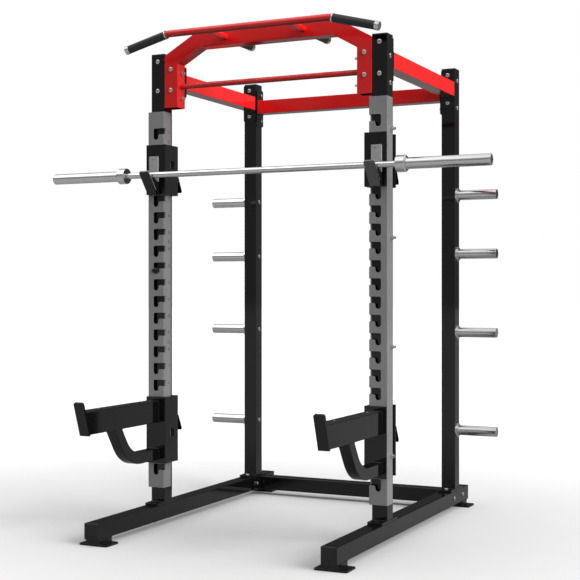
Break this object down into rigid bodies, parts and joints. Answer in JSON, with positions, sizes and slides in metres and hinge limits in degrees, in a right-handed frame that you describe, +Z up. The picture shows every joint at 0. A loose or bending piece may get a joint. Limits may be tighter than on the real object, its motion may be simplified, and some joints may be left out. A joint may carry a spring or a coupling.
{
  "type": "power cage",
  "caption": "Four-post power cage with slotted front uprights, lift-off bar cups and spotter arms, bent pull-up arch, storage pegs and a racked barbell.",
  "frame": {"origin": "middle of the footprint, on the floor", "axes": "+X to the right seen from the front, +Y towards the rear, +Z up"},
  "size_m": [2.2, 1.843, 2.3405],
  "materials": {
    "black_paint": "gloss powder coat",
    "red_paint": "gloss powder coat",
    "grey_paint": "satin silver-grey powder coat",
    "chrome": "satin hard chrome",
    "zinc": "zinc plated",
    "black_plastic": "fine moulded texture",
    "grey_plastic": "wear plastic",
    "rubber": "ribbed grip",
    "bronze": "bushing bronze"
  },
  "bodies": {
    "frame": {"floor_rails": "black_paint", "floor_rail_feet": "black_paint", "rear_floor_crossmember": "black_paint", "floor_frame_bolts": "zinc", "front_left_upright": "black_paint", "front_right_upright": "black_paint", "rear_left_upright": "black_paint", "rear_right_upright": "black_paint", "tube_end_caps": "black_plastic", "left_slot_channel": "grey_paint", "right_slot_channel": "grey_paint", "channel_bolts": "zinc", "front_arch": "red_paint", "left_top_beam": "red_paint", "right_top_beam": "red_paint", "rear_top_beam": "red_paint", "top_beam_flanges": "black_paint", "top_frame_bolts": "zinc", "front_pullup_bar": "red_paint", "lower_pullup_bar": "red_paint", "pullup_grips": "rubber", "grip_end_caps": "chrome", "storage_pegs": "chrome", "storage_peg_caps": "chrome", "storage_peg_bolts": "zinc"},
    "left_cup": {"left_cup_bracket": "black_paint", "left_cup_pins": "zinc", "left_cup_guide": "black_plastic", "left_cup_wear_pads": "grey_plastic", "left_cup_saddle": "black_plastic", "left_cup_fixings": "zinc"},
    "left_cup_latch": {"left_cup_latch": "black_paint"},
    "left_arm": {"left_arm_bracket": "black_paint", "left_arm_pins": "zinc", "left_arm_guide": "black_plastic", "left_spotter_arm": "black_paint", "left_arm_brace": "black_paint", "left_arm_strip": "black_plastic", "left_arm_fixings": "zinc"},
    "left_arm_latch": {"left_arm_latch": "black_paint"},
    "right_cup": {"right_cup_bracket": "black_paint", "right_cup_pins": "zinc", "right_cup_guide": "black_plastic", "right_cup_wear_pads": "grey_plastic", "right_cup_saddle": "black_plastic", "right_cup_fixings": "zinc"},
    "right_cup_latch": {"right_cup_latch": "black_paint"},
    "right_arm": {"right_arm_bracket": "black_paint", "right_arm_pins": "zinc", "right_arm_guide": "black_plastic", "right_spotter_arm": "black_paint", "right_arm_brace": "black_paint", "right_arm_strip": "black_plastic", "right_arm_fixings": "zinc"},
    "right_arm_latch": {"right_arm_latch": "black_paint"},
    "barbell": {"barbell_shaft": "chrome"},
    "left_sleeve": {"left_barbell_sleeve": "chrome", "left_sleeve_bushings": "bronze"},
    "right_sleeve": {"right_barbell_sleeve": "chrome", "right_sleeve_bushings": "bronze"}
  },
  "joints": [
    {"name": "left_cup_lift", "type": "slide", "parent": "frame", "child": "left_cup", "axis": [0, 0, 1], "range_m": [0, 0.026]},
    {"name": "left_arm_lift", "type": "slide", "parent": "frame", "child": "left_arm", "axis": [0, 0, 1], "range_m": [0, 0.026]},
    {"name": "right_cup_lift", "type": "slide", "parent": "frame", "child": "right_cup", "axis": [0, 0, 1], "range_m": [0, 0.026]},
    {"name": "right_arm_lift", "type": "slide", "parent": "frame", "child": "right_arm", "axis": [0, 0, 1], "range_m": [0, 0.026]},
    {"name": "left_cup_latch_turn", "type": "hinge", "parent": "left_cup", "child": "left_cup_latch", "pos_m": [-0.562, -0.17146, 1.662], "axis": [-1, 0, 0], "range_deg": [0, 20], "stiffness_Nm_per_rad": 1, "springref_deg": -20.05},
    {"name": "left_arm_latch_turn", "type": "hinge", "parent": "left_arm", "child": "left_arm_latch", "pos_m": [-0.562, -0.17146, 0.513], "axis": [-1, 0, 0], "range_deg": [0, 20], "stiffness_Nm_per_rad": 1, "springref_deg": -20.05},
    {"name": "right_cup_latch_turn", "type": "hinge", "parent": "right_cup", "child": "right_cup_latch", "pos_m": [0.562, -0.17146, 1.662], "axis": [-1, 0, 0], "range_deg": [0, 20], "stiffness_Nm_per_rad": 1, "springref_deg": -20.05},
    {"name": "right_arm_latch_turn", "type": "hinge", "parent": "right_arm", "child": "right_arm_latch", "pos_m": [0.562, -0.17146, 0.513], "axis": [-1, 0, 0], "range_deg": [0, 20], "stiffness_Nm_per_rad": 1, "springref_deg": -20.05},
    {"name": "barbell_lift", "type": "slide", "parent": "left_cup", "child": "barbell", "axis": [0, 0, 1], "range_m": [0, 0.2]},
    {"name": "left_sleeve_spin", "type": "hinge", "parent": "barbell", "child": "left_sleeve", "pos_m": [-0.9, -0.35446, 1.6665], "axis": [1, 0, 0], "continuous": true},
    {"name": "right_sleeve_spin", "type": "hinge", "parent": "barbell", "child": "right_sleeve", "pos_m": [0.9, -0.35446, 1.6665], "axis": [1, 0, 0], "continuous": true}
  ],
  "couplings": [
    {"joint": "right_cup_lift", "follows": "left_cup_lift", "ratio": 1}
  ]
}
